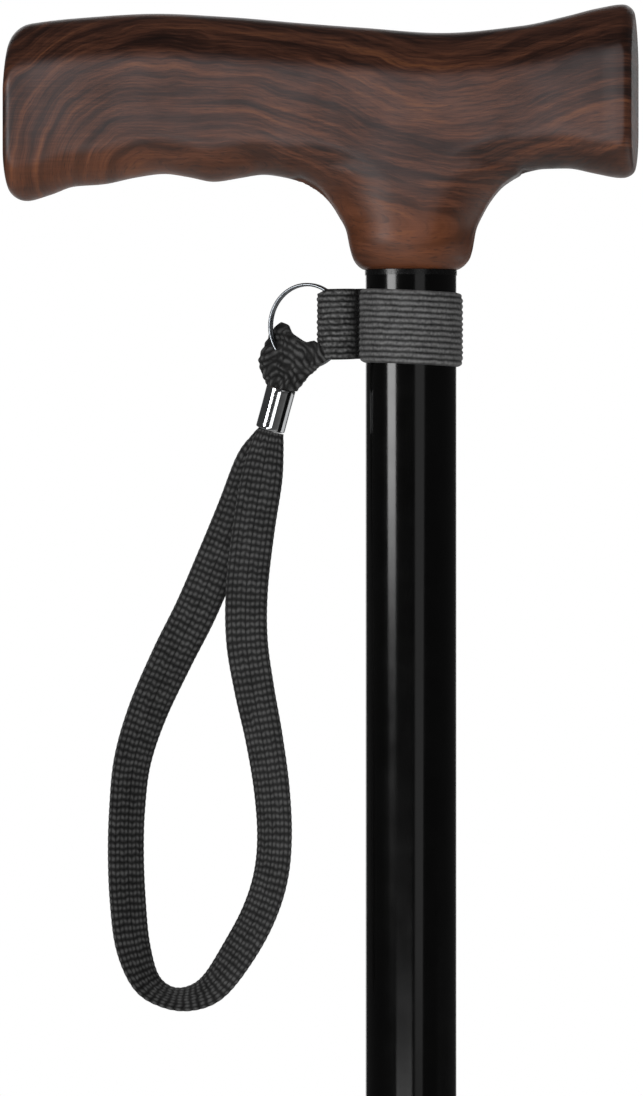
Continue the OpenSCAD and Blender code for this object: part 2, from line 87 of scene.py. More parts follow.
# ------------------------------------------------------------------ shaders
def linear(code, alpha=1):
    """Linear colour of an sRGB hex value."""
    parts = [int(code[i:i + 2], 16) / 255 for i in (1, 3, 5)]
    return (*[c / 12.92 if c <= 0.04045 else ((c + 0.055) / 1.055) ** 2.4 for c in parts], alpha)


def node(tree, kind, inputs=(), stops=None, **settings):
    """Adds a node with its settings. Inputs come by name or in order. Each is set or, where it is another node
    or an output of one, linked. stops fill a colour ramp."""
    made = tree.nodes.new(kind)
    for name, value in settings.items():
        setattr(made, name, value)
    for name, value in (inputs if isinstance(inputs, dict) else dict(enumerate(inputs))).items():
        if isinstance(value, bpy.types.Node):
            value = value.outputs[0]
        if isinstance(value, bpy.types.NodeSocket):
            tree.links.new(value, made.inputs[name])
        else:
            made.inputs[name].default_value = value
    if stops:
        marks = made.color_ramp.elements
        while len(marks) < len(stops):
            marks.new(0.5)
        for mark, (place, code) in zip(marks, stops):
            mark.position = place
            mark.color = linear(code)
    return made


def material(name, **surface):
    """A material with one shader, whose constant values are set on its own sockets."""
    made = bpy.data.materials.new(name)
    made.use_nodes = True
    shader = made.node_tree.nodes["Principled BSDF"]
    for socket, value in surface.items():
        shader.inputs[socket.replace("_", " ")].default_value = value
    return made, made.node_tree, shader


# ------------------------------------------------------------------ meshes
def piece(name, points, faces, finish, smooth=True, marks=None):
    """A mesh object in the cane's frame. marks is one number a point, kept as the attribute 'relief'."""
    mesh = bpy.data.meshes.new(name)
    build = bmesh.new()
    layer = build.verts.layers.float.new("relief") if marks else None
    corners = [build.verts.new(p) for p in points]
    if marks:
        for corner, mark in zip(corners, marks):
            corner[layer] = mark
    for face in faces:
        build.faces.new([corners[i] for i in face]).smooth = smooth
    bmesh.ops.recalc_face_normals(build, faces=build.faces)
    build.to_mesh(mesh)
    build.free()
    mesh.materials.append(finish)
    made = bpy.data.objects.new(name, mesh)
    bpy.context.scene.collection.objects.link(made)
    return made


def tube_faces(rings, around, closed=False):
    """Faces of a tube of rings, which joins up with its own start or has a flat cap at each end."""
    faces = []
    for i in range(rings if closed else rings - 1):
        a, b = i * around, (i + 1) % rings * around
        for j in range(around):
            k = (j + 1) % around
            faces.append((a + j, a + k, b + k, b + j))
    if not closed:
        faces.append(tuple(reversed(range(around))))
        faces.append(tuple(range((rings - 1) * around, rings * around)))
    return faces


def lathe(profile, around, start, turn):
    """Points and faces of a closed profile of (radius, height) turned about an axis through start."""
    points = []
    for r, z in profile:
        for j in range(around):
            a = TURN * j / around
            points.append(start + turn @ Vector((r * math.cos(a), r * math.sin(a), z)))
    return points, tube_faces(len(profile), around, closed=True)


def smooth_curve(x, table):
    """Curve through a table's points without overshoot: level where the table turns."""
    i = 0
    while i < len(table) - 2 and x >= table[i + 1][0]:
        i += 1

    def rise(k):
        return (table[k + 1][1] - table[k][1]) / (table[k + 1][0] - table[k][0])

    def slope(k):
        if k == 0:
            return rise(0)
        if k == len(table) - 1:
            return rise(k - 1)
        a, b = rise(k - 1), rise(k)
        return 0 if a * b <= 0 else 2 * a * b / (a + b)

    h = table[i + 1][0] - table[i][0]
    u = min(1, max(0, (x - table[i][0]) / h))
    return ((1 + 2 * u) * (1 - u) ** 2 * table[i][1] + u * (1 - u) ** 2 * h * slope(i)
            + u * u * (3 - 2 * u) * table[i + 1][1] - u * u * (1 - u) * h * slope(i + 1))


def smoothstep(low, high, x):
    """Soft step from 0 at low to 1 at high."""
    u = min(1, max(0, (x - low) / (high - low)))
    return u * u * (3 - 2 * u)


def curve_point(rows, at):
    """Point of a smooth curve through rows of numbers, at a place counted in rows."""
    last = len(rows) - 1
    i = min(int(at), last - 1)
    u = at - i
    near = rows[max(i - 1, 0)], rows[i], rows[i + 1], rows[min(i + 2, last)]
    return [
        0.5 * (2 * q + (r - p) * u + (2 * p - 5 * q + 4 * r - s) * u * u + (3 * q - p - 3 * r + s) * u ** 3)
        for p, q, r, s in zip(*near)
    ]


# ------------------------------------------------------------------ wrist strap
STRAP_W = 10.5 * MM
STRAP_T = 2 * MM
STRAP_STEPS = 40            # sections between two rows of the route
STRAP_AROUND = 120          # points round a section
ROW_PITCH = 1.7 * MM        # one row of the weave along the strap
CORD_PITCH = 1.17 * MM      # one lengthwise cord of the weave, nine across
WEAVE_DEEP = 0.2 * MM
WEAVE_DEEP_EDGE = 0.08 * MM
# Middle line of the strap in millimetres from the ring's middle: x, y, z, then the share of the full width and
# the twist in degrees
STRAP_ROUTE = [
    [-9.2, 5, -25.8, 0.62, 0], [-10.9, 5.2, -29, 0.8, 0], [-13.5, 5.4, -34, 0.96, 0],
    [-17.6, 5.7, -45, 1, 0], [-22.7, 5.9, -57.2, 1, 0], [-28.1, 5.9, -69.7, 1, 6],
    [-33.9, 5.7, -81.2, 1, 16], [-39.9, 5.3, -94.5, 1, 28], [-43.6, 4.9, -106.5, 1, 36],
    [-44.9, 4.7, -118.2, 1, 40], [-45.2, 4.5, -129.5, 1, 40], [-44.7, 4.3, -141, 1, 40],
    [-43.4, 4.1, -152, 1, 44], [-40.2, 3.9, -160.6, 1, 56], [-35, 3.7, -164.4, 1, 64],
    [-28.9, 3.5, -164.6, 1, 56], [-23.1, 3.4, -161.4, 1, 42], [-17.2, 3.2, -153.2, 1, 32],
    [-12.3, 3.1, -144.2, 1, 30], [-9.3, 2.9, -135, 1, 30], [-8.3, 2.7, -125, 1, 30],
    [-9, 2.5, -113, 1, 27], [-10.9, 2.3, -100.5, 1, 22], [-13.2, 2.1, -89, 1, 14],
    [-15, 1.9, -77, 1, 6], [-15, 1.8, -64.5, 1, 2], [-13.4, 1.9, -50, 1, 0],
    [-11.4, 2.1, -37.5, 0.98, 0], [-10.1, 2.2, -30, 0.8, 0], [-9.2, 2.3, -25.8, 0.62, 0],
]


def weave(across, along):
    """Height of the weave from 0, in a gap, to 1, on a thread, at a place in metres."""
    column = across / CORD_PITCH
    cell = abs(math.sin(math.pi * column))
    slant = abs((column / 2) % 1 - 0.5) - 0.25
    wobble = 0.2 * noise.noise(Vector((across * 700, along * 300, 0.3)))
    row = 0.5 + 0.5 * math.cos(TURN * (along / ROW_PITCH + 0.3 * slant + wobble))
    return (0.12 + 0.88 * row ** 0.65) * (0.2 + 0.8 * cell ** 0.6)


def wrist_strap(finish):
    """A flat braided strap on the CAD strap's own route, with its rows of weave raised."""
    route = [[v * MM for v in r[:3]] + r[3:] for r in STRAP_ROUTE]
    rows = [curve_point(route, k / STRAP_STEPS) for k in range((len(route) - 1) * STRAP_STEPS + 1)]
    middle = [ring_middle + Vector(r[:3]) for r in rows]
    points, marks = [], []
    run = 0
    for i, here in enumerate(middle):
        share, twist = rows[i][3], math.radians(rows[i][4])
        run += (here - middle[i - 1]).length if i else 0
        along = (middle[min(i + 1, len(rows) - 1)] - middle[max(i - 1, 0)]).normalized()
        flat = along.cross(Vector((0, 1, 0))).normalized()
        deep = flat.cross(along)
        wide = flat * math.cos(twist) + deep * math.sin(twist)
        thick = deep * math.cos(twist) - flat * math.sin(twist)
        for j in range(STRAP_AROUND):
            a = -TURN * j / STRAP_AROUND
            side = math.cos(a)
            out = math.copysign((1 - abs(side) ** 3.2) ** 0.5, math.sin(a))
            high = weave(side * STRAP_W / 2, run)
            half_w = STRAP_W / 2 * share - WEAVE_DEEP_EDGE * (1 - high)
            half_t = STRAP_T / 2 * (1 + 0.25 * (1 - share)) - WEAVE_DEEP * (1 - high)
            points.append(here + wide * (side * half_w) + thick * (out * half_t))
            marks.append(high)
    made = piece("strap_loop", points, tube_faces(len(rows), STRAP_AROUND), finish, marks=marks)
    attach(made, "strap")
    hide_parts("wrist_strap")


# ------------------------------------------------------------------ handle
NECK_REACH = 27
HANDLE_ROWS = 56            # points up each side of a section
grip_low, grip_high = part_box("handle_grip")
GRIP_BACK = -grip_low.x / MM
GRIP_FRONT = grip_high.x / MM
GRIP_W = 30
NECK_Z = grip_low.z


def back(s):
    """x at a share of the way from the neck to the handle's back end, in millimetres."""
    return -NECK_REACH - s * (GRIP_BACK - NECK_REACH)


def front(s):
    """x at a share of the way from the neck to the handle's front end, in millimetres."""
    return NECK_REACH + s * (GRIP_FRONT - NECK_REACH)


# Heights in millimetres over the neck's lower edge, against x
TOP_LINE = [
    [back(1), 59], [back(0.93), 60.6], [back(0.75), 62], [back(0.5), 62.9], [back(0.25), 62],
    [back(0), 60.4], [-12, 59.2], [8, 57.8], [front(0), 59.4], [front(0.4), 61.7],
    [front(0.68), 63.6], [front(0.9), 64.5], [front(1), 64.2],
]
UNDER_LINE = [
    [back(1), 17.6], [back(0.95), 17.1], [back(0.86), 18.7], [back(0.78), 20.7], [back(0.68), 21.2],
    [back(0.57), 22.8], [back(0.47), 23.7], [back(0.38), 22.8], [back(0.3), 21.7], [back(0.21), 22.6],
    [back(0.13), 23.4], [back(0.05), 22.6], [back(0), 21.4], [-22.4, 18.8], [-19.8, 16.3],
    [-17.8, 13.2], [-15.8, 9.5], [-14.9, 5.6], [-14.1, 2.8], [-13, 1], [-11.4, 0], [11.4, 0],
    [13, 1], [14.4, 2.6], [15.2, 5.2], [15.9, 9.5], [17.6, 13.7], [19.6, 17.1], [22.8, 20.7],
    [front(0), 23.2], [front(0.2), 24.5], [front(0.4), 24.6], [front(0.65), 23.3],
    [front(0.88), 22.2], [front(1), 22.6],
]
BAR_LINE = [[back(1), 16], [back(0), 22.5], [0, 24], [front(0), 24], [front(1), 22]]
WIDTH_LINE = [
    [back(1), 1.01], [back(0.965), 1], [back(0.9), 0.955], [back(0.6), 0.965], [back(0), 0.96], [0, 0.95],
    [front(0), 0.95], [front(0.72), 0.955], [front(0.9), 1], [front(1), 1.01],
]
NECK_LINE = [
    [0, 11.4], [1, 13], [2.7, 14.2], [5.4, 15], [9.5, 15.8], [13.5, 17.7], [16.7, 19.7], [20, 22.6], [24, 30],
]
CROWN_R = 11.8              # depth of the crown, down to its soft shoulder
BELLY_R = 10
BACK_ROUND = 5              # rounding of the top at the back end
SIDE_ROUND = 2.2            # rounding of the sides into the back end
FRONT_ROUND = 3
LEAST_HALF = 0.5
NECK_PROUD = 0.2


def edge(d, r):
    """Share of the full size at a depth d into a rounding of radius r."""
    u = min(1, max(0, d / r))
    return math.sqrt(1 - (1 - u) ** 2)


def drawn_in(x, back_round=BACK_ROUND):
    """How far the roundings of the two ends draw the outline in at x."""
    if x < 0:
        return back_round * (1 - edge(x + GRIP_BACK, back_round))
    return FRONT_ROUND * (1 - edge(GRIP_FRONT - x, FRONT_ROUND))


def top_at(x):
    return smooth_curve(x, TOP_LINE) - 0.8 * drawn_in(x)


def under_at(x):
    return smooth_curve(x, UNDER_LINE) + (0 if abs(x) < NECK_REACH else 0.5 * drawn_in(x))


def crown(d):
    """Share of the width at a depth under the top: round, with a soft shoulder where the flat side starts."""
    u = min(1, max(0, 1 - d / CROWN_R))
    return (1 - u ** 1.3) ** 0.45


def half_at(x, h, low, top):
    """Half width of the handle at x and a height."""
    bar = GRIP_W / 2 * smooth_curve(x, WIDTH_LINE) * edge(h - max(smooth_curve(x, BAR_LINE), low), BELLY_R)
    neck = 0
    if abs(x) < NECK_REACH:
        r = smooth_curve(h, NECK_LINE)
        neck = min(r, GRIP_W / 2 + NECK_PROUD) * math.sqrt(max(0, 1 - x * x / (r * r)))
    both = (bar ** 6 + neck ** 6) ** (1 / 6)
    high = smoothstep(14, 38, h)
    most = GRIP_W / 2 * (high * smooth_curve(x, WIDTH_LINE) + 1 - high) + (1 - high) * NECK_PROUD
    return max(LEAST_HALF, min(both, most) * crown(top - h) - drawn_in(x, SIDE_ROUND))


def handle_stations():
    """Places of the sections along the handle, close together at the ends and at the neck's steep walls."""
    ends = [0, 0.0004, 0.0015, 0.0035, 0.006, 0.01, 0.014, 0.02, 0.028, 0.038, 0.05]
    places = [back(1 - s) for s in ends]
    places += [back(0.95 - 0.95 * i / 60) for i in range(1, 60)]
    places += [-NECK_REACH + 54 * i / 150 for i in range(151)]
    places += [front(0.9 * i / 26) for i in range(1, 27)]
    places += [front(1 - s) for s in (0.085, 0.07, 0.056, 0.043, 0.032, 0.022, 0.014, 0.008, 0.004, 0.001, 0)]
    return places


def handle(finish):
    """The wood handle, from the same lines as its CAD solid with a crisper crown, then sanded a little."""
    points = []
    stations = handle_stations()
    for x in stations:
        low, top = under_at(x), top_at(x)
        for k in range(2 * HANDLE_ROWS):
            side = -1 if k < HANDLE_ROWS else 1
            j = k if k < HANDLE_ROWS else 2 * HANDLE_ROWS - 1 - k
            h = low + (1 - math.cos(math.pi * j / (HANDLE_ROWS - 1))) / 2 * (top - low)
            points.append(Vector((x * MM, side * half_at(x, h, low, top) * MM, NECK_Z + h * MM)))
    made = piece("handle_wood", points, tube_faces(len(stations), 2 * HANDLE_ROWS), finish)
    bpy.context.view_layer.objects.active = made
    remesh = made.modifiers.new("even", "REMESH")
    remesh.mode = "VOXEL"
    remesh.voxel_size = 0.6 * MM
    remesh.use_smooth_shade = True
    soften = made.modifiers.new("sanded", "SMOOTH")
    soften.factor = 0.5
    soften.iterations = 4
    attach(made, "cane_top")
    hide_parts("handle_grip")


HEART = Vector((-66 * MM, -15 * MM, NECK_Z + 22 * MM))   # where the growth rings' middle comes out of the wood
YEAR = 3.4 * MM             # one growth ring
WAVE = 29.41 * MM           # spacing of the slow waves in the grain
WAVE_HIGH = (12 * MM, 10 * MM, 11 * MM)
BLOTCH = 16.67 * MM         # spacing of the orange blotches
VESSEL_LONG = 14.29 * MM
VESSEL_HIGH = 0.5263 * MM   # real vessels are a third of this, too fine to show


def rosewood():
    """Oiled and lacquered rosewood, sanded smooth: dark growth rings nested along the bar, fine pores,
    and a satin lacquer. Painted shade darkens the crown, and a pale painted sheen lies on the flat sides."""
    made, tree, shader = material("rosewood_satin_lacquered", Specular_IOR_Level=0.6, Coat_Weight=0.15,
                                  Coat_Roughness=0.3)
    place = node(tree, "ShaderNodeTexCoord").outputs["Object"]
    wavy = node(tree, "ShaderNodeTexNoise",
                {"Vector": place, "Scale": 1 / WAVE, "Detail": 2.5, "Roughness": 0.55})
    shift = node(tree, "ShaderNodeVectorMath", (wavy.outputs["Color"], (0.5, 0.5, 0.5)), operation="SUBTRACT")
    away = node(tree, "ShaderNodeVectorMath", (place, HEART), operation="SUBTRACT")
    bent = node(tree, "ShaderNodeVectorMath", (shift, WAVE_HIGH, away), operation="MULTIPLY_ADD")
    x, y, z = node(tree, "ShaderNodeSeparateXYZ", (bent,)).outputs
    # The rings dip into the neck, then rise again towards the front end
    dip = node(tree, "ShaderNodeMapRange", (x, 22 * MM, 75 * MM, 0, 13 * MM), interpolation_type="SMOOTHSTEP")
    lift = node(tree, "ShaderNodeMapRange", (x, 80 * MM, 120 * MM, 0, 12 * MM), interpolation_type="SMOOTHSTEP")
    dipped = node(tree, "ShaderNodeMath", (z, dip), operation="ADD")
    level = node(tree, "ShaderNodeMath", (dipped, lift), operation="SUBTRACT")
    # Behind the heart the rings are round; ahead of it they run nearly straight along the handle
    behind = node(tree, "ShaderNodeMath", (x, 0), operation="MINIMUM")
    ahead = node(tree, "ShaderNodeMath", (x, 0), operation="MAXIMUM")
    run = node(tree, "ShaderNodeMath", (ahead, 0.1, behind), operation="MULTIPLY_ADD")
    deep = node(tree, "ShaderNodeMath", (y, 0.4), operation="MULTIPLY")
    from_heart = node(tree, "ShaderNodeCombineXYZ", (run, level, deep))
    ring = node(tree, "ShaderNodeVectorMath", (from_heart,), operation="LENGTH").outputs["Value"]

    def streaks(width, length, detail, seed):
        """Noise drawn out along the grain: width across it and length along it, in metres."""
        across = node(tree, "ShaderNodeMath", (ring, width), operation="DIVIDE")
        along = node(tree, "ShaderNodeMath", (x, length), operation="DIVIDE")
        inward = node(tree, "ShaderNodeMath", (y, 1 / length, seed), operation="MULTIPLY_ADD")
        at = node(tree, "ShaderNodeCombineXYZ", (across, along, inward))
        return node(tree, "ShaderNodeTexNoise", {"Vector": at, "Scale": 1, "Detail": detail, "Roughness": 0.62})

    bands = streaks(3.1 * MM, 46 * MM, 5, 0.0)
    lines = streaks(0.6 * MM, 12 * MM, 3, 7.3)
    pores = streaks(0.26 * MM, 2.6 * MM, 1, 13.1)
    # A year's growth every few millimetres, strongest in the nested arcs at the back
    ringed = node(tree, "ShaderNodeMath", (bands, 3.2 * MM, ring), operation="MULTIPLY_ADD")
    turned = node(tree, "ShaderNodeMath", (ringed, TURN / YEAR), operation="MULTIPLY")
    year = node(tree, "ShaderNodeMath", (turned,), operation="SINE")
    arcs = node(tree, "ShaderNodeMapRange", (x, 50 * MM, -5 * MM, 0.006, 0.026))
    # Fine vessels run level along the handle wherever the saw cut it
    vessel = (1 / VESSEL_LONG, 1 / VESSEL_LONG, 1 / VESSEL_HIGH)
    level_at = node(tree, "ShaderNodeVectorMath", (place, vessel), operation="MULTIPLY")
    vessels = node(tree, "ShaderNodeTexNoise", {"Vector": level_at, "Scale": 1, "Detail": 3, "Roughness": 0.7})
    tone = node(tree, "ShaderNodeMath", (year, arcs), operation="MULTIPLY")
    for pattern, share in ((lines, 0.24), (bands, 0.56), (vessels, 0.2)):
        tone = node(tree, "ShaderNodeMath", (pattern, share, tone), operation="MULTIPLY_ADD")
    colour = node(tree, "ShaderNodeValToRGB", (tone,), stops=[
        (0.37, "#170c09"), (0.44, "#301a13"), (0.5, "#4b2b1e"), (0.56, "#643b29"), (0.63, "#7f4d2f")])
    # The lower part of the bar is more orange, in blotches, and pores are dark
    warm = node(tree, "ShaderNodeMapRange", (level, 13 * MM, -4 * MM, 0, 0.75), interpolation_type="SMOOTHSTEP")
    blotch = node(tree, "ShaderNodeTexNoise", {"Vector": place, "Scale": 1 / BLOTCH, "Detail": 2})
    orange = node(tree, "ShaderNodeMath", (warm, blotch), operation="MULTIPLY")
    dark = node(tree, "ShaderNodeMapRange", (pores, 0.3, 0.44, 0.45, 0))
    # Painted shade darkens the crown, which faces up; the crown's lacquer is also polished smoother
    facing = node(tree, "ShaderNodeSeparateXYZ", (node(tree, "ShaderNodeNewGeometry").outputs["Normal"],))
    crown_shade_and_polish = node(tree, "ShaderNodeMapRange", (facing.outputs[2], 0.12, 0.45, 0, 1),
                interpolation_type="SMOOTHSTEP")
    crown_painted_shade = node(tree, "ShaderNodeMath", (crown_shade_and_polish, 0.3), operation="MULTIPLY")
    # On the flat of each side, a pale grey painted sheen in patches stands in for the lacquer's reflection
    sideways = node(tree, "ShaderNodeMath", (facing.outputs[1],), operation="ABSOLUTE")
    flat = node(tree, "ShaderNodeMapRange", (sideways, 0.88, 1, 0, 0.27), interpolation_type="SMOOTHSTEP")
    patchy_side_sheen = node(tree, "ShaderNodeMath", (flat, blotch), operation="MULTIPLY")
    high_up = node(tree, "ShaderNodeMath", (1, warm), operation="SUBTRACT")
    painted_side_sheen = node(tree, "ShaderNodeMath", (patchy_side_sheen, high_up), operation="MULTIPLY")
    # Over the wood go orange blotches, dark pores, painted shade on the crown and a painted grey sheen on the
    # flat sides
    for share, code in ((orange, "#8f4d22"), (dark, "#1d0f0d"), (crown_painted_shade, "#241008"), (painted_side_sheen, "#95898a")):
        colour = node(tree, "ShaderNodeMix", {"Factor": share, "A": colour, "B": linear(code)},
                      data_type="RGBA").outputs["Result"]
    tree.links.new(colour, shader.inputs["Base Color"])
    dull = node(tree, "ShaderNodeMapRange", (lines, 0.3, 0.7, 0.44, 0.58))
    rough = node(tree, "ShaderNodeMath", (crown_shade_and_polish, -0.14, dull), operation="MULTIPLY_ADD")
    tree.links.new(rough.outputs[0], shader.inputs["Roughness"])
    open_grain = node(tree, "ShaderNodeMath", (lines, 0.6, pores), operation="MULTIPLY_ADD")
    bump = node(tree, "ShaderNodeBump", {"Height": open_grain, "Strength": 0.12, "Distance": 0.1 * MM})
    tree.links.new(bump.outputs[0], shader.inputs["Normal"])
    return made


# ------------------------------------------------------------------ finishes of the other pieces
FIBRE = 0.5556 * MM         # loose fibres are far finer than this and wouldn't show
PATCH = 3.846 * MM


def woven(name, gap, thread, crest_highlight, roughness):
    """Woven or braided polyester, coloured by its relief: painted shade darkens the gaps between threads, and a
    painted highlight lightens the threads' crowns.
    """
    made, tree, shader = material(name, Roughness=roughness, Sheen_Weight=0.15, Sheen_Roughness=0.4)
    relief = node(tree, "ShaderNodeAttribute", attribute_name="relief").outputs["Fac"]
    place = node(tree, "ShaderNodeTexCoord").outputs["Object"]
    fuzz = node(tree, "ShaderNodeTexNoise",
                {"Vector": place, "Scale": 1 / FIBRE, "Detail": 3, "Roughness": 0.7})
    patch = node(tree, "ShaderNodeTexNoise", {"Vector": place, "Scale": 1 / PATCH, "Detail": 2})
    shade = node(tree, "ShaderNodeMath", (fuzz, 0.5, relief), operation="MULTIPLY_ADD")
    lift = node(tree, "ShaderNodeMath", (patch, 0.5, shade), operation="MULTIPLY_ADD")
    tone = node(tree, "ShaderNodeMath", (lift, 0.5), operation="MULTIPLY")
    # Colour follows the relief: painted shade in the gaps, the yarn's own grey, painted highlight on the crowns
    colour = node(tree, "ShaderNodeValToRGB", (tone,), stops=[(0.28, gap), (0.5, thread), (0.78, crest_highlight)])
    tree.links.new(colour.outputs[0], shader.inputs["Base Color"])
    bump = node(tree, "ShaderNodeBump", {"Height": fuzz, "Strength": 0.35, "Distance": 0.08 * MM})
    tree.links.new(bump.outputs[0], shader.inputs["Normal"])
    return made


def speckled(name, dark, light, spot, low, high, bump=0.1, depth=0.05, **surface):
    """A finish whose colour and gloss vary a little from place to place. spot and depth are in millimetres."""
    made, tree, shader = material(name, **surface)
    place = node(tree, "ShaderNodeTexCoord").outputs["Object"]
    spots = node(tree, "ShaderNodeTexNoise",
                 {"Vector": place, "Scale": 1 / (spot * MM), "Detail": 4, "Roughness": 0.6})
    colour = node(tree, "ShaderNodeValToRGB", (spots,), stops=[(0.35, dark), (0.65, light)])
    tree.links.new(colour.outputs[0], shader.inputs["Base Color"])
    gloss = node(tree, "ShaderNodeMapRange", (spots, 0.3, 0.7, low, high))
    tree.links.new(gloss.outputs[0], shader.inputs["Roughness"])
    relief = node(tree, "ShaderNodeBump", {"Height": spots, "Strength": bump, "Distance": depth * MM})
    tree.links.new(relief.outputs[0], shader.inputs["Normal"])
    return made


def finishes():
    """Every finish by its material slot in the record."""
    return {
        "wood": rosewood(),
        # Aluminium tube with a baked gloss black powder coat: deep black, sharp highlights, slight orange peel
        "black_tube": speckled("aluminium_gloss_black_powder_coat", "#020202", "#040404", 11.11, 0.11, 0.16,
                               bump=0.05, depth=0.2),
        # ABS moulded in a polished tool: black and glossy, with faint sink marks
        "black_plastic": speckled("abs_black_moulded", "#070707", "#0d0d0e", 0.7143, 0.2, 0.3),
        # Moulded acetal: off-white and waxy
        "white_plastic": speckled("acetal_white_moulded", "#d9d7d0", "#e6e4dd", 2, 0.32, 0.42),
        # Zinc plated steel: grey with a faint blue bloom
        "zinc_steel": speckled("steel_zinc_plated", "#7c8085", "#9a9ea2", 2.381, 0.16, 0.26, bump=0.03,
                               Metallic=1.0),
        # Cold rolled spring strip: darker than the zinc, with a softer shine
        "spring_steel": speckled("spring_steel_rolled", "#6c6f76", "#85888e", 3.333, 0.2, 0.32, Metallic=1.0),
        # Brass tube with bright chrome plate: a mirror with the faintest wipe marks
        "chrome": speckled("brass_bright_chrome_plated", "#c9cbcd", "#d6d8da", 1.429, 0.05, 0.1, bump=0.03,
                           Metallic=1.0),
        # Moulded rubber: matt dark grey with a paler bloom
        "rubber": speckled("rubber_black_moulded", "#131313", "#1f1f1e", 2.857, 0.62, 0.8, bump=0.3),
        # Ribbed polyester webbing: dull grey ribs, with black painted shade in the gaps
        "webbing": woven("polyester_webbing_ribbed", "#101010", "#505050", "#808080", 0.75),
        # Braided polyester strap: darker and softer, its cords and rows just told apart
        "braid": woven("polyester_strap_braided", "#060606", "#2c2c2c", "#5c5c5c", 0.78),
        # Bonded polyester thread: nearly black, a little smoother than the webbing
        "thread": woven("polyester_thread_bonded", "#060606", "#101010", "#1d1d1d", 0.6),
    }


# ------------------------------------------------------------------ webbing band
TUBE_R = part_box("upper_tube")[1].x
band_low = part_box("webbing_band")[0]
ring_low, ring_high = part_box("split_ring")
RING_Z = (ring_low.z + ring_high.z) / 2
BAND_LEAN = math.tan(math.radians(2.6))   # the band sits a little askew, lower at the handle's front
BAND_GAP = 0.1 * MM
BAND_T = 1.5 * MM
BAND_HALF_W = 9 * MM
BAND_DROP = 0.6 * MM         # the band's middle lies this far under the ring's
BAND_ROWS = 118              # points up the outside of a section
BAND_AROUND = 300
RIB_PITCH = 1.4 * MM
RIB_DEEP = 0.34 * MM
EDGE_THINNER = 1 * MM
SEAM_DRAWN_IN = 0.5 * MM
PINCH_HALF = 1.4 * MM
POCKET_R = 3.9 * MM
POCKET_WALL = 1 * MM
POCKET_X = band_low.x + POCKET_R + POCKET_WALL
SEAM_X = -TUBE_R - 2.2 * MM
TAIL_LOW = RING_Z - 8.1 * MM
TAIL_HIGH = RING_Z + 9 * MM


def rib(z, start, wobble):
    """Height of the ribbed weave from 0 to 1."""
    return (0.5 - 0.5 * math.cos(TURN * ((z - start) / RIB_PITCH + wobble))) ** 0.7


def band(finish):
    """A strip of ribbed webbing once round the tube, its edges drawn in against it."""
    low = RING_Z - BAND_DROP - BAND_HALF_W
    high = low + 2 * BAND_HALF_W
    inside = BAND_ROWS // 4
    section = [(1, low + (high - low) * k / (BAND_ROWS - 1)) for k in range(BAND_ROWS)]
    section += [(0, high - (high - low) * k / (inside - 1)) for k in range(inside)]
    points, marks = [], []
    for j in range(BAND_AROUND):
        a = math.pi + TURN * j / BAND_AROUND
        for outer, z in section:
            into_edge = min(z - low, high - z)
            wobble = 0.1 * noise.noise(Vector((5 * math.cos(a), 5 * math.sin(a), z * 300)))
            knit = 0.8 + 0.5 * noise.noise(Vector((26 * math.cos(a), 26 * math.sin(a), z * 1500)))
            mark = min(1, rib(z, low, wobble) * knit + 0.12) if outer else 0
            hug = 1 - edge(into_edge / MM, 2.2)
            thread = 0.07 * MM * noise.noise(Vector((60 * math.cos(a), 60 * math.sin(a), z * 2200)))
            near_seam = sum(math.exp(-(side * (a - math.pi) % TURN / 0.1) ** 2) for side in (1, -1))
            r = TUBE_R + BAND_GAP
            if outer:
                r += BAND_T - EDGE_THINNER * hug - RIB_DEEP * (1 - mark) + thread
                r -= SEAM_DRAWN_IN * min(1, near_seam)
            x, y = r * math.cos(a), r * math.sin(a)
            points.append(Vector((x, y, z - BAND_LEAN * x)))
            # Near the seam the relief mark drops, so the webbing's colour darkens there as painted shade in the
            # groove
            marks.append(mark * (1 - 0.75 * min(1, near_seam)))
    faces = tube_faces(BAND_AROUND, len(section), closed=True)
    made = piece("band_wrap", points, faces, finish, marks=marks)
    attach(made, "strap_band")
    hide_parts("webbing_band")


LEG_STEPS = 25               # steps along each flat end, and round the fold
FOLD_STEPS = 90
TAIL_ROWS = 105              # points up the outside of a section
TAIL_INSIDE = TAIL_ROWS // 4


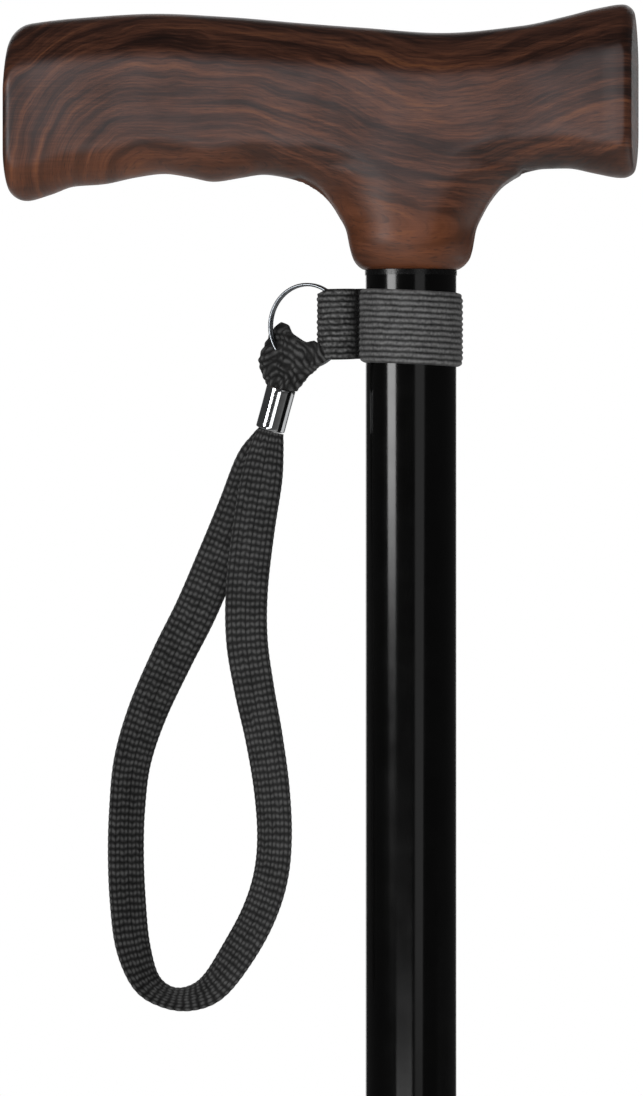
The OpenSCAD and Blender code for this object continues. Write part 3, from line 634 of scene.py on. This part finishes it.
def tail(finish):
    """The strip's two ends laid together and folded round the ring: a drop-shaped loop seen from above."""
    reach = POCKET_R + POCKET_WALL / 2
    leg_y = PINCH_HALF - POCKET_WALL / 2
    leg_start = -TUBE_R - 0.3 * MM
    join = math.asin(leg_y / reach)
    leg_run = POCKET_X + reach * math.cos(join) - leg_start
    leg = [(leg_start + leg_run * i / LEG_STEPS, -leg_y) for i in range(LEG_STEPS + 1)]
    loop = list(leg)
    for i in range(1, FOLD_STEPS):
        a = -join - (TURN - 2 * join) * i / FOLD_STEPS
        loop.append((POCKET_X + reach * math.cos(a), reach * math.sin(a)))
    loop += [(x, -y) for x, y in reversed(leg)]
    section = [(1, k / (TAIL_ROWS - 1)) for k in range(TAIL_ROWS)]
    section += [(0, 1 - k / (TAIL_INSIDE - 1)) for k in range(TAIL_INSIDE)]
    points, marks = [], []
    for i, (x, y) in enumerate(loop):
        before, after = loop[max(i - 1, 0)], loop[min(i + 1, len(loop) - 1)]
        along = Vector((after[0] - before[0], after[1] - before[1], 0)).normalized()
        out = Vector((-along.y, along.x, 0))
        turn_up = smoothstep(POCKET_X - 2 * MM, POCKET_X - reach, x)
        low = TAIL_LOW + 0.3 * MM * turn_up
        high = TAIL_HIGH - 0.9 * MM * turn_up
        # By the seam the webbing's relief lies flatter and thinner, and its colour darkens as painted shade in
        # the groove
        pinch_and_painted_shade = math.exp(-((x - SEAM_X) / (1.1 * MM)) ** 2)
        for outer, part in section:
            z = low + (high - low) * part
            wobble = 0.1 * noise.noise(Vector((x * 500, y * 500, z * 300)))
            knit = 0.66 + 0.7 * noise.noise(Vector((x * 1900, y * 1900, z * 1500)))
            hug = 1 - edge(min(z - low, high - z) / MM, 1.2)
            mark, half = 0, POCKET_WALL / 2 - 0.35 * MM * hug
            if outer:
                mark = max(0, min(1, rib(z, TAIL_LOW, wobble) * knit)) * (1 - 0.85 * pinch_and_painted_shade)
                half += 0.32 * MM - 0.3 * MM * (1 - mark)
            at = Vector((x, y, z)) + out * (half if outer else -half)
            at.z += BAND_LEAN * 0.4 * (x + TUBE_R)
            points.append(at)
            marks.append(mark)
    made = piece("band_tail", points, tube_faces(len(loop), len(section)), finish, marks=marks)
    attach(made, "strap_band")


STITCHES = 11
STITCH_STEPS = 40
THREAD_R = 0.3 * MM
THREAD_AROUND = 10


def seam(finish):
    """Whip stitches of thick thread, each once round the pinched webbing and leaning a little."""
    points, faces = [], []
    first, last = TAIL_LOW + 0.9 * MM, TAIL_HIGH - 0.9 * MM
    ring_faces = tube_faces(STITCH_STEPS, THREAD_AROUND, closed=True)
    for n in range(STITCHES):
        z = first + (last - first) * n / (STITCHES - 1)
        lean = 0.35 * MM * (1 + 0.4 * noise.noise(Vector((n * 0.9, 0, 4))))
        base = len(points)
        for i in range(STITCH_STEPS):
            a = TURN * i / STITCH_STEPS
            c, s = math.cos(a), math.sin(a)
            out = Vector((c * 0.3, s, 0)).normalized()
            middle = Vector((SEAM_X + 0.55 * MM * math.copysign(abs(c) ** 0.7, c), (PINCH_HALF + 0.42 * MM) * s,
                             z + lean * s))
            for j in range(THREAD_AROUND):
                b = -TURN * j / THREAD_AROUND
                ply = THREAD_R * (1 + 0.14 * math.sin(3 * b + 9 * a))
                points.append(middle + out * (ply * math.cos(b)) + Vector((0, 0, ply * 1.5 * math.sin(b))))
        faces += [tuple(base + v for v in face) for face in ring_faces]
    made = piece("seam_stitches", points, faces, finish, marks=[0.6] * len(points))
    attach(made, "strap_band")
    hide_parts("band_stitching")


# ------------------------------------------------------------------ ring and what hangs from it
WIRE_R = 0.425 * MM
RING_R = (ring_high.z - ring_low.z) / 2 - WIRE_R
ring_middle = (ring_low + ring_high) / 2
RING_YAW = math.radians(22)
RING_X = Vector((math.cos(RING_YAW), -math.sin(RING_YAW), 0))
RING_OUT = Vector((math.sin(RING_YAW), math.cos(RING_YAW), 0))
RING_TURN = Matrix((RING_X, RING_OUT, Vector((0, 0, 1)))).transposed()


def at_ring(x, y, z):
    """A point in the cane's frame from one in millimetres in the ring's own frame."""
    return ring_middle + RING_TURN @ Vector((x * MM, y * MM, z * MM))


WIRE_STEPS = 360             # sections along the two coils
WIRE_AROUND = 14


def split_ring(finish):
    """Two coils of wire side by side, with the step where the wire crosses from one to the other."""
    step_at = math.radians(248)
    cross = math.radians(14)
    gap = math.radians(17)
    points = []
    for i in range(WIRE_STEPS + 1):
        a = gap + (2 * TURN - 2 * gap) * i / WIRE_STEPS
        side = -1 + 2 * smoothstep(TURN - cross, TURN + cross, a)
        t = step_at + a
        out = Vector((math.cos(t), 0, math.sin(t)))
        here = out * RING_R + Vector((0, side * WIRE_R * 1.01, 0))
        thin = 0.55 if i in (0, WIRE_STEPS) else 0.9 if i in (1, WIRE_STEPS - 1) else 1
        for j in range(WIRE_AROUND):
            b = -TURN * j / WIRE_AROUND
            spot = here + out * (WIRE_R * thin * math.cos(b)) + Vector((0, WIRE_R * thin * math.sin(b), 0))
            points.append(ring_middle + RING_TURN @ spot)
    made = piece("key_ring", points, tube_faces(WIRE_STEPS + 1, WIRE_AROUND), finish)
    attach(made, "ring")
    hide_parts("split_ring")


FERRULE_TOP = (-7.1, -15)
FERRULE_TILT = math.radians(17)
FERRULE_D = 7.3
FERRULE_L = 10.7
FERRULE_WALL = 0.6
FERRULE_LIP = 0.3            # height of the rolled lip at each end
FERRULE_TURN = RING_TURN @ Matrix.Rotation(FERRULE_TILT, 3, "Y")


def ferrule(finish):
    """Short chromed tube with rolled ends, pressed over the two strands of the strap."""
    r, wall, length, lip = FERRULE_D / 2 * MM, FERRULE_WALL * MM, FERRULE_L * MM, FERRULE_LIP * MM
    roll = [math.pi * i / 8 for i in range(9)]
    bottom = [(r - wall / 2 + wall / 2 * math.cos(a), lip - lip * math.sin(a)) for a in reversed(roll)]
    outer = [(r, 3 * lip), (r - 0.03 * MM, length / 2), (r, length - 3 * lip)]
    top = [(r - wall / 2 + wall / 2 * math.cos(a), length - lip + lip * math.sin(a)) for a in roll]
    inner = [(r - wall, length - 3 * lip), (r - wall, 3 * lip)]
    profile = bottom + outer + top + inner
    start = at_ring(FERRULE_TOP[0], 0, FERRULE_TOP[1]) - FERRULE_TURN @ Vector((0, 0, length))
    points, faces = lathe(profile, 96, start, FERRULE_TURN)
    made = piece("crimp_tube", points, faces, finish)
    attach(made, "strap")
    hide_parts("strap_ferrule")


# Edges of the strap's gathered end in the ring's frame, from the ferrule up to the ring
THROAT_LEFT = [
    [-10.6, -14.2], [-12, -12.2], [-12.9, -10.3], [-13.2, -8], [-13.1, -5.3], [-12.3, -2.7], [-10.9, -0.6],
    [-9, 1.1],
]
THROAT_RIGHT = [
    [-3.2, -16], [-1.2, -14], [1, -12], [3.5, -10.6], [5.9, -9.5], [7.6, -8.1], [6.6, -5.4], [4, -3.7],
]
THROAT_TOP = [[-9, 1.1], [-6.6, 0.3], [-4.6, -1.6], [-2.2, -3.2], [1, -4], [4, -3.7]]
THROAT_HALF = 2.7            # half thickness in the middle
THROAT_ROWS = 130
THROAT_AROUND = 150
THROAT_ROW_PITCH = 1.75
THROAT_CORDS = 7


def throat(finish):
    """The strap's end gathered over the ring: wide at the ring, drawn together into the ferrule."""
    points, marks = [], []
    left0, right0 = THROAT_LEFT[0], THROAT_RIGHT[0]
    left1, right1 = THROAT_LEFT[-1], THROAT_RIGHT[-1]
    for i in range(THROAT_ROWS):
        v = i / (THROAT_ROWS - 1)
        left, right = (curve_point(line, v * (len(line) - 1)) for line in (THROAT_LEFT, THROAT_RIGHT))
        for j in range(THROAT_AROUND):
            a = -TURN * j / THROAT_AROUND
            side = math.copysign(abs(math.cos(a)) ** 0.8, math.cos(a))
            s = (side + 1) / 2
            foot = [left0[n] + (right0[n] - left0[n]) * s for n in (0, 1)]
            top = curve_point(THROAT_TOP, s * (len(THROAT_TOP) - 1))
            flat = [
                (1 - v) * foot[n] + v * top[n] + (1 - s) * left[n] + s * right[n]
                - ((1 - v) * ((1 - s) * left0[n] + s * right0[n]) + v * ((1 - s) * left1[n] + s * right1[n]))
                for n in (0, 1)
            ]
            over = edge(1 - v, 0.2)
            half = THROAT_HALF * over * (1 + 0.2 * smoothstep(0.3, 0, v)) * (1 - 0.18 * smoothstep(0.5, 1, s))
            fold = 0.22 * math.sin(TURN * (1.6 * s + 0.25 * v)) * smoothstep(0, 0.4, v) * over
            y = math.copysign(abs(math.sin(a)) ** 0.7, math.sin(a)) * half
            behind_wire = 3 * smoothstep(0.45, 0.1, s) * smoothstep(0.4, 0.7, v)
            over_fold = 3.4 * smoothstep(0.6, 0.95, s) * smoothstep(0.3, 0.6, v)
            sway = behind_wire - over_fold
            down = math.hypot(flat[0] - FERRULE_TOP[0], flat[1] - FERRULE_TOP[1])
            bend = 0.8 * noise.noise(Vector((flat[0] * 0.35, y * 0.35, flat[1] * 0.35)))
            count = down / THROAT_ROW_PITCH + 0.6 * bend
            row = 0.5 + 0.5 * math.cos(TURN * count)
            column = abs(math.sin(math.pi * (s * THROAT_CORDS + 0.5 * math.floor(count + 0.5) + 1.4 * bend)))
            mark = (0.08 + 0.92 * row ** 0.7) * (0.1 + 0.9 * column ** 0.7)
            lift = (mark - 1) * 0.42
            outward = max(-1, min(1, math.sin(a) / 0.2))
            points.append(at_ring(flat[0] + lift * 0.5 * side, y + outward * (lift + fold) + sway, flat[1]))
            marks.append(mark)
    made = piece("gathered_end", points, tube_faces(THROAT_ROWS, THROAT_AROUND), finish, marks=marks)
    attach(made, "strap")
    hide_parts("strap_throat")


# ------------------------------------------------------------------ snap button's spring
LEAF_T = 0.7 * MM
BEND_R = 3.05 * MM
spring_low, spring_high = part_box("snap_spring")
pad_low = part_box("snap_button")[0]
LEAF_AROUND = 20


def button_spring(finish):
    """A strip bent to a U. The front leaf carries the button; the rear one lies on the tube."""
    half_t, half_w = LEAF_T / 2, (spring_high.x - spring_low.x) / 2
    front, rear = spring_low.y + half_t, spring_high.y - half_t
    r = BEND_R - half_t
    bend_z = spring_low.z + BEND_R
    path = [Vector((0, front, spring_high.z)), Vector((0, front, pad_low.z + half_t))]
    path += [path[-1].lerp(Vector((0, -r, bend_z)), i / 20) for i in range(1, 20)]
    bend = [math.pi * i / 24 for i in range(25)]
    path += [Vector((0, -r * math.cos(a), bend_z - r * math.sin(a))) for a in bend]
    path += [path[-1].lerp(Vector((0, rear, spring_high.z)), i / 20) for i in range(1, 21)]
    points = []
    for i, here in enumerate(path):
        along = (path[min(i + 1, len(path) - 1)] - path[max(i - 1, 0)]).normalized()
        out = along.cross(Vector((1, 0, 0)))
        for j in range(LEAF_AROUND):
            a = TURN * j / LEAF_AROUND
            side = math.copysign(abs(math.cos(a)) ** 0.25, math.cos(a)) * half_w
            high = math.copysign(abs(math.sin(a)) ** 0.5, math.sin(a)) * half_t
            points.append(here + Vector((side, 0, 0)) + out * high)
    made = piece("spring_leaf", points, tube_faces(len(path), LEAF_AROUND), finish)
    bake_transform(made)
    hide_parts("snap_spring")


# ------------------------------------------------------------------ carried-over CAD pieces
CARRIED = {
    "black_tube": ["upper_tube", "lower_tube"],
    "black_plastic": ["neck_plug", "collar_bush", "lock_collar", "tube_cap"],
    "white_plastic": ["clamp_ring"],
    "zinc_steel": ["handle_stud", "stud_washer", "stud_nut", "tip_washer", "snap_button"],
    "rubber": ["rubber_tip"],
}


def dress_frame(finish):
    """Gives each CAD node that stays its own material, and smooth shading over its round faces."""
    for slot, names in CARRIED.items():
        for name in names:
            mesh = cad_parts[name].data
            mesh.materials.clear()
            mesh.materials.append(finish[slot])
            mesh.shade_smooth()
            mesh.set_sharp_from_angle(angle=math.radians(32))


# ------------------------------------------------------------------ studio
FLOOR_R = 6
FLOOR_CORNERS = 96
FLOOR_CLOUD = 33.3 * MM


def lamp(name, place, aim, size, radiance, mirrored=True):
    """A soft box: its brightness is given as radiance, so it doesn't change with its size."""
    data = bpy.data.lights.new(name, "AREA")
    data.shape = "RECTANGLE"
    data.size, data.size_y = size
    data.energy = radiance * math.pi * size[0] * size[1]
    made = bpy.data.objects.new(name, data)
    made.location = place
    made.rotation_mode = "QUATERNION"
    made.rotation_quaternion = (Vector(aim) - Vector(place)).to_track_quat("-Z", "Y")
    made.visible_camera = False
    made.visible_glossy = mirrored
    bpy.context.scene.collection.objects.link(made)


def around_shaft(degrees, away, height):
    """A place at an angle to the right of the camera's side of the shaft, seen from above."""
    a = math.radians(degrees) + VIEW_TURN
    return (math.sin(a) * away, -math.cos(a) * away, height)


def studio():
    """Pale floor, white surround for the eye, dim surround for the light, and soft boxes."""
    world = bpy.data.worlds.new("studio")
    bpy.context.scene.world = world
    world.use_nodes = True
    tree = world.node_tree
    seen = node(tree, "ShaderNodeLightPath").outputs["Is Camera Ray"]
    out = tree.nodes["World Output"]
    dim = tree.nodes["Background"]
    dim.inputs["Color"].default_value = (1, 1, 1, 1)
    dim.inputs["Strength"].default_value = 0.05
    white = node(tree, "ShaderNodeBackground", ((1, 1, 1, 1), 1))
    both = node(tree, "ShaderNodeMixShader", (seen, dim, white))
    tree.links.new(both.outputs[0], out.inputs[0])
    middle = (0, 0, 0.78)
    lamp("key", around_shaft(-51.5, 1.3, 0.93), (0, 0, 0.93), (0.53, 0.34), 8.2)
    lamp("front_fill", around_shaft(22, 1.6, 0.95), (0, 0, 0.95), (0.7, 0.9), 0.5)
    lamp("level_front", around_shaft(12, 1.5, 0.84), (0, 0, 0.84), (1.3, 0.5), 4.2, mirrored=False)
    lamp("low_strip", around_shaft(-18, 1.3, 0.46), middle, (0.95, 0.16), 2.6)
    lamp("low_right", around_shaft(104, 1.1, 0.32), middle, (1.5, 0.36), 0.6)
    lamp("back_fill", around_shaft(180, 1.8, 1.0), middle, (1.6, 1.8), 0.9)
    lamp("overhead", (0, 0.2, 2.6), (0, 0, 0), (3, 3), 0.4, mirrored=False)
    # Rolled matt paint: pale and even, with faint clouds
    floor, tree, shader = material("floor_painted_pale", Roughness=0.7)
    place = node(tree, "ShaderNodeTexCoord").outputs["Object"]
    clouds = node(tree, "ShaderNodeTexNoise", {"Vector": place, "Scale": 1 / FLOOR_CLOUD, "Detail": 3})
    tone = node(tree, "ShaderNodeValToRGB", (clouds,), stops=[(0.3, "#dedddb"), (0.7, "#e4e3e1")])
    tree.links.new(tone.outputs[0], shader.inputs["Base Color"])
    turns = [TURN * i / FLOOR_CORNERS for i in range(FLOOR_CORNERS)]
    points = [Vector((FLOOR_R * math.cos(a), FLOOR_R * math.sin(a), 0)) for a in turns]
    piece("floor", points, [tuple(range(FLOOR_CORNERS))], floor, smooth=False)


camera()
finish = finishes()
wrist_strap(finish["braid"])
throat(finish["braid"])
ferrule(finish["chrome"])
split_ring(finish["zinc_steel"])
handle(finish["wood"])
band(finish["webbing"])
tail(finish["webbing"])
seam(finish["thread"])
button_spring(finish["spring_steel"])
dress_frame(finish)
studio()
